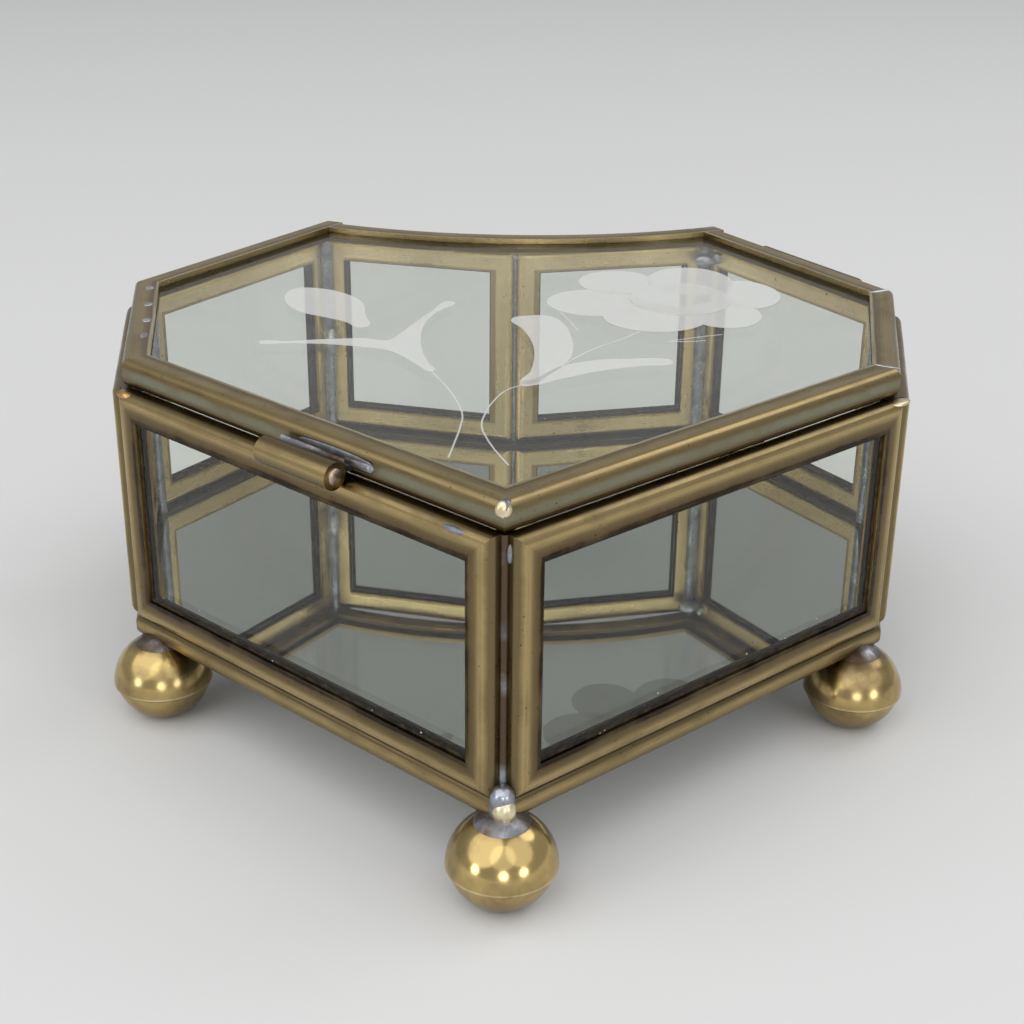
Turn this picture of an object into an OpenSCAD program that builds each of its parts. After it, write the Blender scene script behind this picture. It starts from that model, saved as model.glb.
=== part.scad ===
// Glass casket box: eight glass walls in brass channel, a mirror floor, a hinged lid and ball feet.
// Millimetres, +Z up. The box stands on z = 0 with its point towards -Y.

/* [Plan] */
// Width between the two front side corners, inside
side_front_w = 92.4; // [78:0.2:112]
// Width between the two back side corners, inside
side_back_w = 102.6; // [88:0.2:124]
// Width between the two back corners, inside
back_w = 59.8; // [48:0.2:74]
// Depth from the front point to the front side corners
front_d = 40.4; // [33:0.2:50]
// Depth of the two short side walls
side_d = 31.8; // [25:0.2:40]
// Depth from the back side corners to the back corners
slant_d = 31.7; // [25:0.2:40]
// How far the middle of the back is notched forward
notch_d = 6.9; // [3:0.1:9]

/* [Walls] */
// Height of a wall panel
wall_h = 31.3; // [22:0.1:45]
// Thickness of the glass and of the mirror
glass_t = 2; // [1.6:0.1:2.4]

/* [Brass channel] */
// Thickness of the channel across its two flanges
channel_t = 3; // [2.6:0.1:3.6]
// Depth of the channel from its back to the flange edges
channel_d = 3.4; // [2.6:0.1:4.2]
// Radius that rounds the two edges of the channel's back
back_r = 1.1; // [0.6:0.1:1.25]
// Thickness of the channel's web behind the glass edge
web_t = 0.5; // [0.4:0.1:0.8]
// Gap between a pane's faces and the flanges
face_gap = 0.05; // [0:0.01:0.1]
// Gap between a pane's edge and the web
edge_gap = 0.2; // [0.1:0.05:0.4]

/* [Floor] */
// How far the floor frame stands back from the walls' outer faces
floor_inset = 0.5; // [0:0.1:1]

/* [Lid] */
// Thickness of the lid's channel, which is heavier than the walls' one
lid_t = 3.6; // [2.8:0.1:4.4]
// How far the lid stands back from the walls' outer faces
lid_inset = 1.45; // [1.1:0.05:2.4]
// Distance from the back corners, inside, to the ends of the lid's back edge
lid_back_reach = 2.1; // [1.6:0.1:2.6]
// Rise of the arc in the lid's back edge
lid_back_sag = 6.4; // [4:0.1:8]
// Height at which solder holds the closed lid over the wall tops
lid_rest = 0.05; // [0.05:0.05:0.5]

/* [Tube and wire] */
// Outer diameter of the tube used for the hinge and the thumb lift
tube_d = 3.2; // [2.8:0.1:3.8]
// Diameter of the hinge wire
wire_d = 1.6; // [1.3:0.1:1.8]
// Gap all round the wire in its tube
wire_clear = 0.05; // [0.02:0.01:0.1]
// Height of the tubes' axes over the wall tops
tube_up = 0.9; // [0.7:0.1:1.2]
// Length of the hinge tube
hinge_len = 20; // [14:0.5:24]
// Gap between each end of the hinge tube and the bends of the wire
hinge_end_gap = 0.4; // [0.2:0.1:1]
// Radius of the wire's bends, at its centre line
wire_bend = 1.4; // [1.1:0.1:1.6]
// Length of the thumb lift
thumb_len = 11.5; // [8:0.5:18]
// How far the thumb lift is from the middle of the lid's edge, towards the front
thumb_shift = 4; // [-20:0.5:20]
// Gap between the thumb lift and the wall's rounded top
thumb_clear = 0.3; // [0.3:0.05:0.6]

/* [Feet] */
// Radius of a ball foot
ball_r = 6.35; // [5:0.05:8]
// Height of the seam round a ball foot
seam_z = 4.8; // [3.8:0.1:5.6]
// Step at the seam, where the lower shell tucks into the upper one
seam_step = 0.25; // [0.1:0.05:0.4]
// Radius of the flat that a foot stands on
foot_flat_r = 2; // [0.8:0.1:2.4]
// How far the floor frame is let into the crown of a ball foot
foot_sink = 0.9; // [0.4:0.05:1.2]
// Distance from a front side corner back to the foot under it, along the front wall
foot_back_off = 2.7; // [0:0.1:6]

/* [Solder] */
// Radius of the bead down the groove between two wall frames
bead_r = 0.6; // [0.4:0.05:0.8]
// Radius of the fillet up the inside of a corner
fillet_r = 1; // [0.7:0.05:1.3]
// Gap between solder and the brass it joins
solder_gap = 0.02; // [0.01:0.01:0.05]
// Radius of the drop on the lid's front mitre
lid_drop_r = 0.9; // [0.8:0.05:1.3]
// Radius of the drop that runs down over the floor frame's point
nose_drop_r = 1.4; // [1.1:0.05:1.6]
// Radius of the solder spread over the crown of a foot
spread_r = 3.3; // [2.6:0.1:3.6]
// Height of that solder over the crown
spread_up = 0.4; // [0.25:0.05:0.5]
// Radius of the hollow fillet between the thumb lift and the lid
hollow_r = 0.85; // [0.7:0.05:1]
// Radius of the bead of solder past the thumb lift's end
smear_r = 0.8; // [0.6:0.05:1]
// How far that bead runs past the end nearest the front
smear_past = 3.5; // [2:0.5:8]
// Length of the plug of solder in the thumb lift's end nearest the front
plug_len = 1.5; // [0.5:0.1:3]
// Radius of the drops on the ends of the hinge wire
wire_drop_r = 1.3; // [1:0.05:1.6]

/* [Hidden] */

$fn = 64;

// Edges are numbered anticlockwise from the front point: edge i runs from corner i to corner i + 1.
FRONT_RIGHT = 0;
SIDE_RIGHT = 1;
SLANT_RIGHT = 2;
BACK_RIGHT = 3;
BACK_LEFT = 4;
SLANT_LEFT = 5;
SIDE_LEFT = 6;
FRONT_LEFT = 7;
CORNERS = 8;

brass = [0.63, 0.54, 0.32];
ball_brass = [0.80, 0.64, 0.28];
clear_glass = [0.72, 0.78, 0.74, 0.35];
silver = [0.66, 0.68, 0.69];
solder = [0.52, 0.55, 0.60];

// Corners of the inner faces of the walls, with the front point at the origin for now
corners_from_front = [
    [0, 0],
    [side_front_w / 2, front_d],
    [side_back_w / 2, front_d + side_d],
    [back_w / 2, front_d + side_d + slant_d],
    [0, front_d + side_d + slant_d - notch_d],
    [-back_w / 2, front_d + side_d + slant_d],
    [-side_back_w / 2, front_d + side_d],
    [-side_front_w / 2, front_d]
];

function unit(v) = v / norm(v);
function edge(p, i) = p[(i + 1) % CORNERS] - p[i % CORNERS];
function edge_dir(p, i) = unit(edge(p, i));
function out_dir(p, i) = [edge_dir(p, i)[1], -edge_dir(p, i)[0]];
// Corner i of the outline moved outwards by o, on the line that halves the corner's angle
function corner_out(p, i, o) =
    let (before = out_dir(p, (i + CORNERS - 1) % CORNERS), after = out_dir(p, i))
    p[i % CORNERS] + o * (before + after) / (1 + before * after);
// Half of the turn at corner i, negative at the notch
function half_turn(p, i) =
    let (a = edge_dir(p, (i + CORNERS - 1) % CORNERS), b = edge_dir(p, i))
    atan2(a[0] * b[1] - a[1] * b[0], a * b) / 2;

// The feet reach furthest forward and back, so they centre the box on the origin
foot_out = channel_t / 2;
foot_front_y = corner_out(corners_from_front, 0, foot_out)[1] - ball_r;
foot_back_y = corner_out(corners_from_front, 3, foot_out)[1] + ball_r;
centre_y = (foot_front_y + foot_back_y) / 2;
inner = [for (p = corners_from_front) p - [0, centre_y]];

function length_of(i) = norm(edge(inner, i));
function angle_of(i) = let (e = edge(inner, i)) atan2(e[1], e[0]);

// Heights
floor_z = seam_z + ball_r - foot_sink;
wall_z = floor_z + channel_t;
wall_top = wall_z + wall_h;
lid_z = wall_top + lid_rest;
lid_top = lid_z + lid_t;

floor_out = channel_t - floor_inset;
lid_out = channel_t - lid_inset;
pane_inset = web_t + edge_gap;
slot_t = glass_t + 2 * face_gap;

// Distance that a wall frame runs past inner corner i, so that the two rounded backs just meet
seam_gap = 0.05;
function overrun(i) =
    let (h = half_turn(inner, i), a = abs(h), reach = h > 0 ? -back_r * sin(a) : (channel_t - back_r) * sin(a))
    back_r - (back_r + reach + seam_gap / 2) / cos(a);
// Distance of the rounding's centre out from inner corner i, along the line that halves the corner
function seam_out(i) =
    let (h = half_turn(inner, i), a = abs(h), off = h > 0 ? back_r : channel_t - back_r)
    off * cos(a) + (overrun(i) - back_r) * sin(h);
function corner_dir(i) = unit(corner_out(inner, i, 1) - inner[i % CORNERS]);

// The lid's back edge is an arc whose centre lies behind the box
lid_back_y = inner[3][1] + lid_back_reach;
lid_corner_r = corner_on_line(SLANT_RIGHT, lid_out, lid_back_y);
lid_arc_r = (pow(lid_corner_r[0], 2) + pow(lid_back_sag, 2)) / (2 * lid_back_sag);
lid_arc_y = lid_back_y - lid_back_sag + lid_arc_r;
// Point at height y in plan on edge i moved outwards by o
function corner_on_line(i, o, y) =
    let (p = inner[i] + o * out_dir(inner, i), e = edge_dir(inner, i))
    p + e * (y - p[1]) / e[1];

// Distance of a tube's axis out from the walls' outer faces, with a gap to the rounded wall top
function tube_out(gap) = sqrt(pow(back_r + tube_d / 2 + gap, 2) - pow(back_r + tube_up, 2)) - back_r;
bore_d = wire_d + 2 * wire_clear;
hinge_out = tube_out(solder_gap);
thumb_out = tube_out(thumb_clear);
tube_z = wall_top + tube_up;
// The wire's arms slope up from the hinge axis to the middle of the lid rim's outer side
lid_reach = hinge_out + lid_inset;
arm_slope = atan2(lid_z + lid_t / 2 - tube_z, lid_reach);
arm_len = lid_reach / cos(arm_slope) - wire_d / 2 * tan(arm_slope) - solder_gap;
arm_x = hinge_len / 2 + hinge_end_gap + wire_bend;
far = 400;

// ---- Helpers ----

// Puts its children on edge i: x runs along the edge from corner i, y points into the box
module on_edge(i) {
    translate([inner[i][0], inner[i][1], 0])
        rotate([0, 0, angle_of(i)])
            children();
}

// Turns a flat outline so that its x lies along y and its y along z, and draws it out along x
module along_x(x0, x1) {
    translate([x0, 0, 0])
        rotate([90, 0, 90])
            linear_extrude(x1 - x0)
                children();
}

// Rectangle from [x0, y0] to [x1, y1] with its corners rounded by r
module rounded_rect(x0, y0, x1, y1, r) {
    translate([x0 + r, y0]) square([x1 - x0 - 2 * r, y1 - y0]);
    translate([x0, y0 + r]) square([x1 - x0, y1 - y0 - 2 * r]);
    for (x = [x0 + r, x1 - r], y = [y0 + r, y1 - r])
        translate([x, y]) circle(r);
}

// Channel's back and flanges, filled: the back is at x = 0, the thickness t along y, the depth d along x
module channel_outline(d, t, grow = 0) {
    translate([back_r, -grow]) square([d - back_r + grow, t + 2 * grow]);
    translate([-grow, back_r]) square([d, t - 2 * back_r]);
    for (y = [back_r, t - back_r])
        translate([back_r, y]) circle(back_r + grow);
}

// Section of the lid's channel
module lid_section() {
    difference() {
        channel_outline(channel_d, lid_t);
        translate([web_t, (lid_t - slot_t) / 2]) square([channel_d, slot_t]);
    }
}

// Straight channel of the lid on edge i, with room beyond both corners for the mitres
module lid_channel(i) {
    on_edge(i)
        translate([0, -lid_out, lid_z])
            along_x(-channel_d * 2, length_of(i) + channel_d * 2)
                lid_section();
}

// Upright prism over the band beside edge i, from corner line to corner line
module mitre_band(i, z, h) {
    translate([0, 0, z])
        linear_extrude(h)
            polygon([
                corner_out(inner, i, channel_t + 1),
                corner_out(inner, i + 1, channel_t + 1),
                corner_out(inner, i + 1, -channel_d - 1),
                corner_out(inner, i, -channel_d - 1)
            ]);
}

// Plan of the two wall frames that meet at corner i, grown by the solder gap
module frames_at(i) {
    for (k = [(i + CORNERS - 1) % CORNERS, i % CORNERS])
        translate(inner[k])
            rotate(angle_of(k))
                rounded_rect(-overrun(k) - solder_gap, -channel_t - solder_gap,
                    length_of(k) + overrun(k + 1) + solder_gap, solder_gap, back_r + solder_gap);
}

// ---- Walls ----

// Frame of channel folded round the pane of wall i, mitred at its four corners
module wall_frame(i) {
    x0 = -overrun(i);
    x1 = length_of(i) + overrun(i + 1);
    color(brass)
        on_edge(i)
            difference() {
                intersection() {
                    translate([0, 0, wall_z - 1])
                        linear_extrude(wall_h + 2)
                            rounded_rect(x0, -channel_t, x1, 0, back_r);
                    along_x(x0 - 1, x1 + 1)
                        rounded_rect(-channel_t, wall_z, 0, wall_top, back_r);
                }
                translate([x0 + channel_d, -channel_t - 1, wall_z + channel_d])
                    cube([x1 - x0 - 2 * channel_d, channel_t + 2, wall_h - 2 * channel_d]);
                translate([x0 + web_t, -(channel_t + slot_t) / 2, wall_z + web_t])
                    cube([x1 - x0 - 2 * web_t, slot_t, wall_h - 2 * web_t]);
            }
}

// Pane of wall i, inside its frame
module wall_glass(i) {
    x0 = -overrun(i) + pane_inset;
    x1 = length_of(i) + overrun(i + 1) - pane_inset;
    color(clear_glass)
        on_edge(i)
            translate([x0, -(channel_t + glass_t) / 2, wall_z + pane_inset])
                cube([x1 - x0, glass_t, wall_h - 2 * pane_inset]);
}

// ---- Floor ----

// All of the floor that lies inside edge i, with the channel's rounded back, moved out by gap
module inside_edge(i, gap = 0) {
    on_edge(i)
        translate([0, -floor_out - gap, floor_z])
            along_x(-far, far)
                channel_outline(far, channel_t);
}

// Outline of the inner corners moved out by o, drawn up from z by h
module plan_prism(o, z, h) {
    translate([0, 0, z])
        linear_extrude(h)
            polygon([for (i = [0 : CORNERS - 1]) corner_out(inner, i, o)]);
}

// One length of channel notched and folded round the mirror, under the wall frames
module floor_frame() {
    color(brass)
        difference() {
            intersection() {
                intersection() {
                    inside_edge(FRONT_RIGHT);
                    inside_edge(FRONT_LEFT);
                    union() {
                        inside_edge(BACK_RIGHT);
                        inside_edge(BACK_LEFT);
                    }
                }
                intersection() {
                    inside_edge(SIDE_RIGHT);
                    inside_edge(SIDE_LEFT);
                }
                intersection() {
                    inside_edge(SLANT_RIGHT);
                    inside_edge(SLANT_LEFT);
                }
            }
            plan_prism(floor_out - channel_d, floor_z - 1, channel_t + 2);
            plan_prism(floor_out - web_t, floor_z + (channel_t - slot_t) / 2, slot_t);
        }
}

module floor_mirror() {
    color(silver)
        plan_prism(floor_out - pane_inset, floor_z + (channel_t - glass_t) / 2, glass_t);
}

// ---- Lid ----

// Everything on or behind the lid's back arc, moved forward by d
module behind_lid_arc(d) {
    translate([0, lid_arc_y, lid_z - 1])
        cylinder(h = lid_t + 2, r = lid_arc_r + d, $fn = 256);
}

// Straight strip of the lid rim on edge i, mitred at both ends
module lid_strip(i) {
    intersection() {
        lid_channel(i);
        mitre_band(i, lid_z - 1, lid_t + 2);
    }
}

module lid_rim(i) {
    color(brass) lid_strip(i);
}

// The right slanted strip ends against the back strip
module lid_rim_slant_right() {
    color(brass)
        difference() {
            channel_to_back(SLANT_RIGHT);
            behind_lid_arc(channel_d + seam_gap);
        }
}

// The left slanted strip runs through to a point at the corner
module lid_rim_slant_left() {
    color(brass)
        difference() {
            channel_to_back(SLANT_LEFT);
            behind_lid_arc(0);
        }
}

// Slanted strip with a mitre at the side corner and an open end past the back corner
module channel_to_back(i) {
    side_corner = i == SLANT_RIGHT ? i : i + 1;
    along = (i == SLANT_RIGHT ? 1 : -1) * edge_dir(inner, i);
    outer_p = corner_out(inner, side_corner, channel_t + 1);
    inner_p = corner_out(inner, side_corner, -channel_d - 1);
    run = length_of(i) + channel_d;
    intersection() {
        lid_channel(i);
        translate([0, 0, lid_z - 1])
            linear_extrude(lid_t + 2)
                polygon([outer_p, outer_p + run * along, inner_p + run * along, inner_p]);
    }
}

// One strip bent to the arc, square to the left strip's side and ending at the right corner
module lid_rim_back() {
    color(brass)
        difference() {
            translate([0, lid_arc_y, lid_z])
                rotate_extrude($fn = 256)
                    translate([lid_arc_r, 0])
                        lid_section();
            translate([-far / 2, lid_arc_y - lid_arc_r + lid_back_sag + channel_d, lid_z - 1])
                cube([far, far * 2, lid_t + 2]);
            beside_slant(SLANT_RIGHT, lid_out);
            beside_slant(SLANT_LEFT, lid_out - channel_d - seam_gap);
        }
}

// Everything outside of slanted edge i moved out by o
module beside_slant(i, o) {
    on_edge(i)
        translate([-far / 4, -o - far / 4, lid_z - 1])
            cube([far / 2, far / 4, lid_t + 2]);
}

module lid_glass() {
    o = lid_out - pane_inset;
    color(clear_glass)
        difference() {
            translate([0, 0, lid_z + (lid_t - glass_t) / 2])
                linear_extrude(glass_t)
                    polygon([for (i = [0 : CORNERS - 1])
                        i == 4 ? [0, lid_back_y] : i == 3 ? corner_on_line(SLANT_RIGHT, o, lid_back_y)
                        : i == 5 ? corner_on_line(SLANT_LEFT, o, lid_back_y) : corner_out(inner, i, o)]);
            behind_lid_arc(pane_inset);
        }
}

// ---- Thumb lift and hinge ----

// Middle of edge i, out from the wall's outer face by o and at height z
module beside_wall(i, o, z) {
    on_edge(i)
        translate([length_of(i) / 2, -channel_t - o, z])
            children();
}

module tube(length) {
    rotate([0, 90, 0])
        difference() {
            cylinder(h = length, d = tube_d, center = true);
            cylinder(h = length + 1, d = bore_d, center = true);
        }
}

module thumb_lift() {
    color(brass)
        beside_wall(FRONT_LEFT, thumb_out, tube_z)
            translate([thumb_shift, 0, 0])
                tube(thumb_len);
}

module hinge_tube() {
    color(brass)
        beside_wall(SLANT_RIGHT, hinge_out, tube_z)
            tube(hinge_len);
}

// Pin with both ends bent up towards the lid rim
module hinge_wire() {
    straight = arm_x - wire_bend;
    color(brass)
        beside_wall(SLANT_RIGHT, hinge_out, tube_z)
            rotate([arm_slope, 0, 0]) {
                rotate([0, 90, 0])
                    cylinder(h = 2 * straight, d = wire_d, center = true);
                for (side = [0, 1])
                    mirror([side, 0, 0])
                        translate([straight, wire_bend, 0]) {
                            rotate([0, 0, -90])
                                rotate_extrude(angle = 90)
                                    translate([wire_bend, 0]) circle(d = wire_d);
                            translate([wire_bend, 0, 0])
                                rotate([-90, 0, 0])
                                    cylinder(h = arm_len - wire_bend, d = wire_d);
                        }
            }
}

// ---- Feet ----

foot_places = [
    corner_out(inner, 0, foot_out),
    inner[1] + foot_out * out_dir(inner, FRONT_RIGHT) - foot_back_off * edge_dir(inner, FRONT_RIGHT),
    corner_out(inner, 3, foot_out),
    corner_out(inner, 5, foot_out),
    inner[7] + foot_out * out_dir(inner, FRONT_LEFT) + foot_back_off * edge_dir(inner, FRONT_LEFT)
];
// The two edges of the floor that meet over each foot
foot_edges = [
    [FRONT_LEFT, FRONT_RIGHT],
    [FRONT_RIGHT, SIDE_RIGHT],
    [SLANT_RIGHT, BACK_RIGHT],
    [BACK_LEFT, SLANT_LEFT],
    [SIDE_LEFT, FRONT_LEFT]
];

// Corner of the floor over foot k, moved out by the solder gap
module floor_over_foot(k) {
    intersection() {
        inside_edge(foot_edges[k][0], solder_gap);
        inside_edge(foot_edges[k][1], solder_gap);
    }
}

// Upper stamped shell of foot k, with a notch in its crown for the corner of the floor frame
module foot_shell(k) {
    color(ball_brass)
        difference() {
            translate(foot_places[k])
                rotate_extrude()
                    intersection() {
                        translate([0, seam_z]) circle(ball_r);
                        translate([0, seam_z]) square(ball_r + 1);
                    }
            floor_over_foot(k);
        }
}

// Lower stamped dome of foot k, shallower than the upper one, with a flat that it stands on
module foot_dome(k) {
    base_r = ball_r - seam_step;
    // Ball through the seam circle and the rim of the flat
    centre_z = (pow(base_r, 2) + pow(seam_z, 2) - pow(foot_flat_r, 2)) / (2 * seam_z);
    dome_r = sqrt(pow(centre_z, 2) + pow(foot_flat_r, 2));
    color(ball_brass)
        translate(foot_places[k])
            rotate_extrude()
                intersection() {
                    translate([0, centre_z]) circle(dome_r);
                    square([ball_r + 1, seam_z]);
                }
}

// ---- Solder ----

// Share of a round bead's radius by which its middle stands out of the groove
bead_show = 0.9;

// Bead in the groove and fillet inside corner i; the fillet's top carries the lid
module corner_solder(i) {
    way = half_turn(inner, i) > 0 ? 1 : -1;
    meet = inner[i] + seam_out(i) * corner_dir(i);
    color(solder) {
        translate([0, 0, wall_z])
            linear_extrude(way > 0 ? wall_h : lid_z - wall_z)
                difference() {
                    translate(meet + way * bead_r * bead_show * corner_dir(i)) circle(bead_r);
                    frames_at(i);
                }
        if (way > 0)
            translate([0, 0, wall_z])
                linear_extrude(lid_z - wall_z)
                    difference() {
                        translate(meet - fillet_r * corner_dir(i)) circle(fillet_r);
                        frames_at(i);
                    }
    }
}

// The front corner's solder also runs down over the floor frame's point, to the foot
module corner_solder_front() {
    place = corner_out(inner, 0, floor_out - nose_drop_r * 0.65);
    low = floor_z + channel_t / 4;
    high = wall_z + nose_drop_r / 4;
    corner_solder(0);
    color(solder)
        difference() {
            translate([place[0], place[1], 0]) {
                translate([0, 0, low]) cylinder(h = high - low, r = nose_drop_r);
                translate([0, 0, high]) sphere(nose_drop_r);
            }
            floor_over_foot(0);
            foot_spread(0, solder_gap);
            translate([0, 0, wall_z - nose_drop_r / 4])
                linear_extrude(3 * nose_drop_r)
                    frames_at(0);
        }
}

// Ball whose top is the solder on the crown of foot k, grown by grow
module foot_spread(k, grow = 0) {
    rim_z = seam_z + sqrt(pow(ball_r, 2) - pow(spread_r, 2));
    rise = seam_z + ball_r + spread_up - rim_z;
    r = (pow(spread_r, 2) + pow(rise, 2)) / (2 * rise);
    translate([foot_places[k][0], foot_places[k][1], rim_z + rise - r]) sphere(r + grow);
}

// Solder round the corner of the floor frame on the crown of each foot
module foot_solder() {
    color(solder)
        for (k = [0 : len(foot_places) - 1])
            difference() {
                foot_spread(k);
                translate([foot_places[k][0], foot_places[k][1], seam_z]) sphere(ball_r + solder_gap);
                floor_over_foot(k);
            }
}

// Drop on the top edge of the lid's front mitre
module lid_solder() {
    deep = lid_drop_r * 0.7;
    nose = corner_out(inner, 0, lid_out - deep);
    color(solder)
        difference() {
            translate([nose[0], nose[1], lid_top - deep]) sphere(lid_drop_r);
            lid_strip_grown(FRONT_RIGHT);
            lid_strip_grown(FRONT_LEFT);
        }
}

// Filled lid strip on edge i, grown by the solder gap
module lid_strip_grown(i) {
    on_edge(i)
        translate([0, -lid_out, lid_z])
            along_x(-channel_d * 3, length_of(i) + channel_d * 3)
                channel_outline(channel_d, lid_t, solder_gap);
}

// Depth by which hollow fillets cut into what they join, so that they end in an edge
bite = 0.1;

// Hollow fillet between the thumb lift and the lid rim, with a bead past its end and a plug in that end
module thumb_solder() {
    axis_y = -channel_t - thumb_out;
    end_x = length_of(FRONT_LEFT) / 2 + thumb_shift + thumb_len / 2;
    hollow_y = -lid_out - hollow_r + bite;
    hollow_z = tube_z + sqrt(pow(hollow_r + tube_d / 2 - bite, 2) - pow(hollow_y - axis_y, 2));
    bead_end = end_x + smear_past - smear_r;
    color(solder)
        on_edge(FRONT_LEFT) {
            difference() {
                union() {
                    along_x(end_x - thumb_len, end_x)
                        difference() {
                            polygon([
                                [axis_y, tube_z],
                                [hollow_y, hollow_z],
                                [back_r - lid_out, hollow_z],
                                [back_r - lid_out, tube_z]
                            ]);
                            translate([axis_y, tube_z]) circle(d = tube_d + 2 * solder_gap);
                            translate([hollow_y, hollow_z]) circle(hollow_r);
                        }
                    translate([0, smear_r / 2 - lid_out, lid_z + lid_t / 2]) {
                        along_x(end_x - smear_r, bead_end) circle(smear_r);
                        translate([bead_end, 0, 0]) sphere(smear_r);
                    }
                }
                translate([0, -lid_out, lid_z])
                    along_x(0, length_of(FRONT_LEFT))
                        channel_outline(channel_d, lid_t, solder_gap);
                translate([end_x, axis_y, tube_z])
                    rotate([0, 90, 0])
                        cylinder(h = 3 * smear_r, d = tube_d + 2 * solder_gap, center = true);
            }
            translate([end_x - plug_len, axis_y, tube_z])
                rotate([0, 90, 0])
                    cylinder(h = plug_len - 2 * solder_gap, d = bore_d - 2 * solder_gap);
        }
}

// Bead under the hinge tube, against the wall frame
module hinge_tube_solder() {
    under_z = tube_z - tube_d / 2 - bead_r;
    color(solder)
        on_edge(SLANT_RIGHT)
            along_x((length_of(SLANT_RIGHT) - hinge_len) / 2, (length_of(SLANT_RIGHT) + hinge_len) / 2)
                difference() {
                    translate([-channel_t, under_z]) circle(bead_r * 1.5);
                    translate([-channel_t - hinge_out, tube_z]) circle(d = tube_d + 2 * solder_gap);
                    rounded_rect(-channel_t - solder_gap, wall_z, solder_gap, wall_top + solder_gap,
                        back_r + solder_gap);
                }
}

// Drops that hold the bent ends of the wire to the lid rim
module hinge_wire_solder() {
    color(solder)
        difference() {
            beside_wall(SLANT_RIGHT, hinge_out, tube_z)
                rotate([arm_slope, 0, 0])
                    for (side = [-1, 1])
                        translate([side * arm_x, arm_len, 0])
                            wire_drop();
            on_edge(SLANT_RIGHT)
                translate([0, -lid_out - solder_gap, lid_z])
                    cube([length_of(SLANT_RIGHT), channel_d, lid_t]);
        }
}

// Drop at the end of the wire, cut off where the wire begins to bend
module wire_drop() {
    straight = arm_len - wire_bend;
    difference() {
        sphere(wire_drop_r);
        rotate([90, 0, 0])
            translate([0, 0, -solder_gap])
                cylinder(h = arm_len, d = wire_d + 2 * solder_gap);
        translate([-wire_drop_r, -straight - 2 * wire_drop_r, -wire_drop_r])
            cube(2 * wire_drop_r);
    }
}

wall_frame(FRONT_RIGHT);  // wall_frame_front_right
wall_frame(SIDE_RIGHT);  // wall_frame_side_right
wall_frame(SLANT_RIGHT);  // wall_frame_slant_right
wall_frame(BACK_RIGHT);  // wall_frame_back_right
wall_frame(BACK_LEFT);  // wall_frame_back_left
wall_frame(SLANT_LEFT);  // wall_frame_slant_left
wall_frame(SIDE_LEFT);  // wall_frame_side_left
wall_frame(FRONT_LEFT);  // wall_frame_front_left
wall_glass(FRONT_RIGHT);  // wall_glass_front_right
wall_glass(SIDE_RIGHT);  // wall_glass_side_right
wall_glass(SLANT_RIGHT);  // wall_glass_slant_right
wall_glass(BACK_RIGHT);  // wall_glass_back_right
wall_glass(BACK_LEFT);  // wall_glass_back_left
wall_glass(SLANT_LEFT);  // wall_glass_slant_left
wall_glass(SIDE_LEFT);  // wall_glass_side_left
wall_glass(FRONT_LEFT);  // wall_glass_front_left
floor_frame();
floor_mirror();
lid_rim(FRONT_RIGHT);  // lid_rim_front_right
lid_rim(SIDE_RIGHT);  // lid_rim_side_right
lid_rim_slant_right();
lid_rim_back();
lid_rim_slant_left();
lid_rim(SIDE_LEFT);  // lid_rim_side_left
lid_rim(FRONT_LEFT);  // lid_rim_front_left
lid_glass();
thumb_lift();
hinge_tube();
hinge_wire();
foot_shell(0);  // foot_shell_front
foot_shell(1);  // foot_shell_side_right
foot_shell(2);  // foot_shell_back_right
foot_shell(3);  // foot_shell_back_left
foot_shell(4);  // foot_shell_side_left
foot_dome(0);  // foot_dome_front
foot_dome(1);  // foot_dome_side_right
foot_dome(2);  // foot_dome_back_right
foot_dome(3);  // foot_dome_back_left
foot_dome(4);  // foot_dome_side_left
corner_solder_front();
corner_solder(1);  // corner_solder_side_front_right
corner_solder(2);  // corner_solder_side_back_right
corner_solder(3);  // corner_solder_back_right
corner_solder(4);  // corner_solder_notch
corner_solder(5);  // corner_solder_back_left
corner_solder(6);  // corner_solder_side_back_left
corner_solder(7);  // corner_solder_side_front_left
foot_solder();
lid_solder();
thumb_solder();
hinge_tube_solder();
hinge_wire_solder();
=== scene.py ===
import math
import random

import bpy
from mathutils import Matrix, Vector


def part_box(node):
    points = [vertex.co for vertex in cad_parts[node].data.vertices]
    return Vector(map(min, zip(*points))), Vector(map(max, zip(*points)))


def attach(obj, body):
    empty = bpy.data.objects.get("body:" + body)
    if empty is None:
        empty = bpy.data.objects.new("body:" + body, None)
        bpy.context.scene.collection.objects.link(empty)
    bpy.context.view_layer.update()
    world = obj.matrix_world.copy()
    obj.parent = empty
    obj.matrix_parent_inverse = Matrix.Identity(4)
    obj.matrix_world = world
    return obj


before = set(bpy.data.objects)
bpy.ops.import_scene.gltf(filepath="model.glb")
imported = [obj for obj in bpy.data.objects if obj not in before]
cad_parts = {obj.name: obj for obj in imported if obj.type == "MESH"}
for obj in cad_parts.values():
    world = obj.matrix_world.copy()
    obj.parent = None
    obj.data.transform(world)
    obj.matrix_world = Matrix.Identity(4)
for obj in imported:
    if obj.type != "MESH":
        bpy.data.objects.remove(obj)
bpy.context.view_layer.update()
bpy.ops.object.select_all(action="DESELECT")
print("frame loaded:", len(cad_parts), "nodes")

# heights of the box and depth of its channel, in metres
wallBottom = 0.01325
lidBottom = 0.04460
lidTop = 0.04820
channelDeep = 0.0034
seamHeight = 0.0048
# how far the lid's rim stands out from the inner faces of the walls, and the arc of its back edge
lidOut = 0.00155
lidArcRadius = 0.0751744
lidArcMiddle = (0, 0.122974, 0)

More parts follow.
